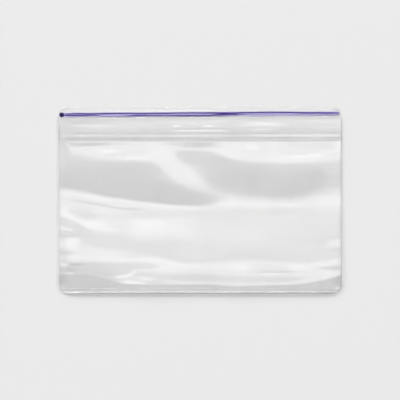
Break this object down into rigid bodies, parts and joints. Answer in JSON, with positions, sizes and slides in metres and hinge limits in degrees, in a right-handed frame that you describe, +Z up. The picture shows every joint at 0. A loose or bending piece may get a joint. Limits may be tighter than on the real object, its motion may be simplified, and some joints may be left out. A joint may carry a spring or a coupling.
{
  "type": "resealable food bag",
  "caption": "Empty resealable bag of clear film, lying flat with both zips closed: a violet zip along the mouth, a clear one below it, welded sides and a folded bottom.",
  "frame": {"origin": "centre of the bag's rectangular outline, on the surface that it lies on", "axes": "+X along the zips, to the right in the picture; +Y from the bottom fold to the mouth; +Z up, out of the side that shows"},
  "size_m": [0.18, 0.118, 0.0034],
  "materials": {
    "film": "clear thin film, glossy",
    "violet_zip": "glossy",
    "clear_zip": "clear, glossy"
  },
  "bodies": {
    "root": {"film_bag": "film", "upper_zip_channel": "violet_zip", "upper_zip_rib": "violet_zip", "lower_zip_channel": "clear_zip", "lower_zip_rib": "clear_zip"}
  },
  "joints": []
}
